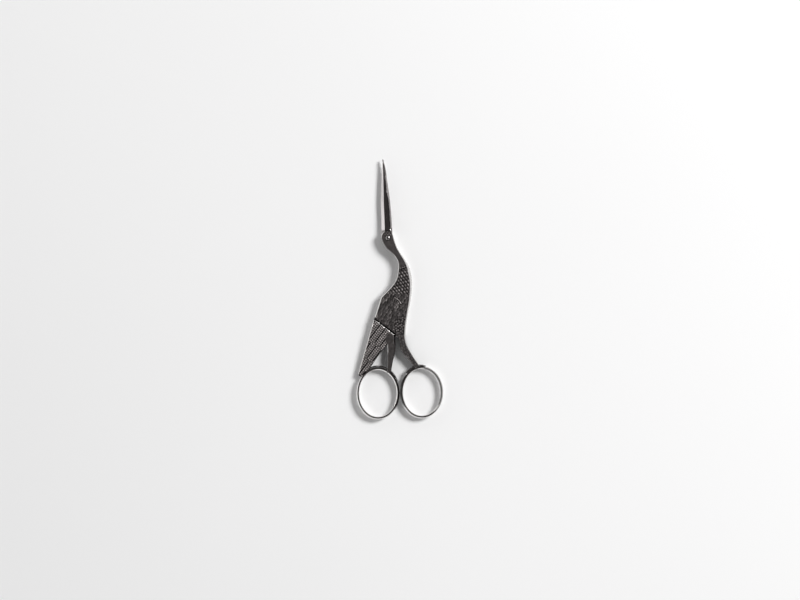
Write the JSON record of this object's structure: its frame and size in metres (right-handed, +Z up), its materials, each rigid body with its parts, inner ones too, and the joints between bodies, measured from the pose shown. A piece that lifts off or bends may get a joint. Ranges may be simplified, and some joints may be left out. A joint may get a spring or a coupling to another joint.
{
  "type": "embroidery scissors",
  "caption": "Small scissors shaped as a stork, with the beak as the blades and the legs ending in oval finger rings, for snipping thread.",
  "frame": {"origin": "middle of the footprint of the closed scissors, on the surface that they lie on", "axes": "+Y from the finger rings to the tip of the beak, +X towards the upper half's ring, +Z up, away from the surface"},
  "size_m": [0.0382, 0.1138, 0.0041],
  "materials": {
    "plated_steel": "bright plated steel, darkened in the engraved faces and polished on the rims and rings",
    "screw_steel": "polished"
  },
  "bodies": {
    "lower": {"lower_half": "plated_steel", "pivot_screw": "screw_steel"},
    "upper": {"upper_half": "plated_steel"}
  },
  "joints": [
    {"name": "blade_pivot", "type": "hinge", "parent": "lower", "child": "upper", "pos_m": [-0.00525, 0.02243, 0.00185], "axis": [0, 0, 1], "range_deg": [0, 70]}
  ]
}
